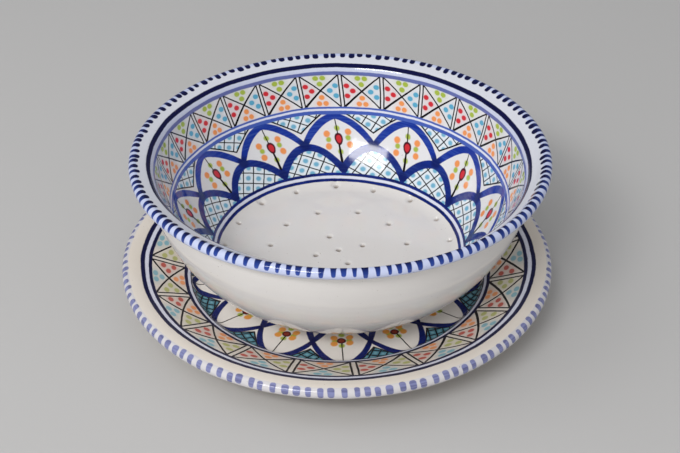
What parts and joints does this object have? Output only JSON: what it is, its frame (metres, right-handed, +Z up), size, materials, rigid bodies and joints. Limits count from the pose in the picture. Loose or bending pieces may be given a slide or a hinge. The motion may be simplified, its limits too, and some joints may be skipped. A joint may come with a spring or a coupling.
{
  "type": "berry colander bowl",
  "caption": "Hand-painted ceramic bowl with drain holes in its floor, standing loose on a matching drip plate.",
  "frame": {"origin": "on the table, at the middle of the plate's foot ring", "axes": "+Z up along the axis on which both pieces were turned, -Y towards the viewer of the picture"},
  "size_m": [0.252, 0.252, 0.0965],
  "materials": {
    "plate_glaze": "gloss",
    "bowl_glaze": "gloss"
  },
  "bodies": {
    "plate": {"drip_plate": "plate_glaze"},
    "bowl": {"bowl_wall": "bowl_glaze", "bowl_floor": "bowl_glaze", "bowl_foot": "bowl_glaze"}
  },
  "joints": [
    {"name": "bowl_lift", "type": "slide", "parent": "plate", "child": "bowl", "axis": [0, 0, 1], "range_m": [0, 0.12]}
  ]
}
